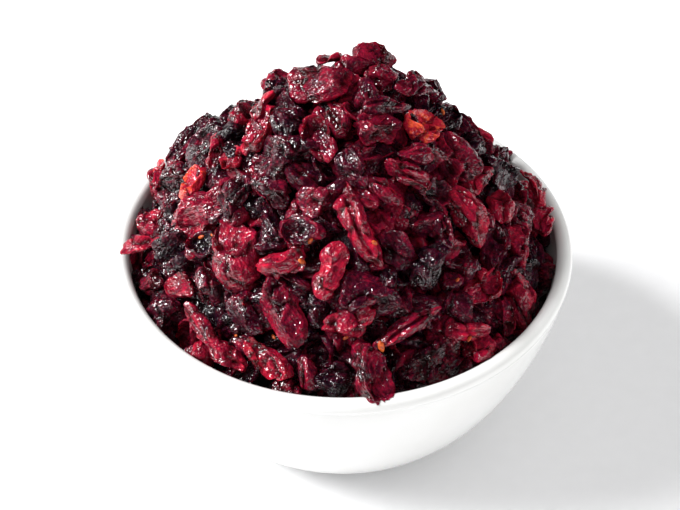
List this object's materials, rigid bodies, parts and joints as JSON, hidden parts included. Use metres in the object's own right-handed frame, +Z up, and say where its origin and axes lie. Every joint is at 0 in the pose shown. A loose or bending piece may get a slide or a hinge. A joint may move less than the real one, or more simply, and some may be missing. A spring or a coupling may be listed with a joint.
{
  "type": "bowl of dried cranberries",
  "caption": "Small round white glazed bowl with a rounded lip, heaped in a steep mound well above its rim with wrinkled dark red dried cranberries.",
  "frame": {"origin": "middle of the foot, on the table top", "axes": "+Z up through the middle of the bowl; the pictured side faces -Y, with +X to its right"},
  "size_m": [0.0998, 0.0998, 0.0916],
  "materials": {
    "white_glaze": "smooth glossy white glaze over the whole bowl",
    "dried_cranberry": "wrinkled, sticky and half glossy dark red skin, brighter red where it is thin"
  },
  "bodies": {
    "root": {"bowl": "white_glaze", "cranberries": "dried_cranberry"}
  },
  "joints": []
}
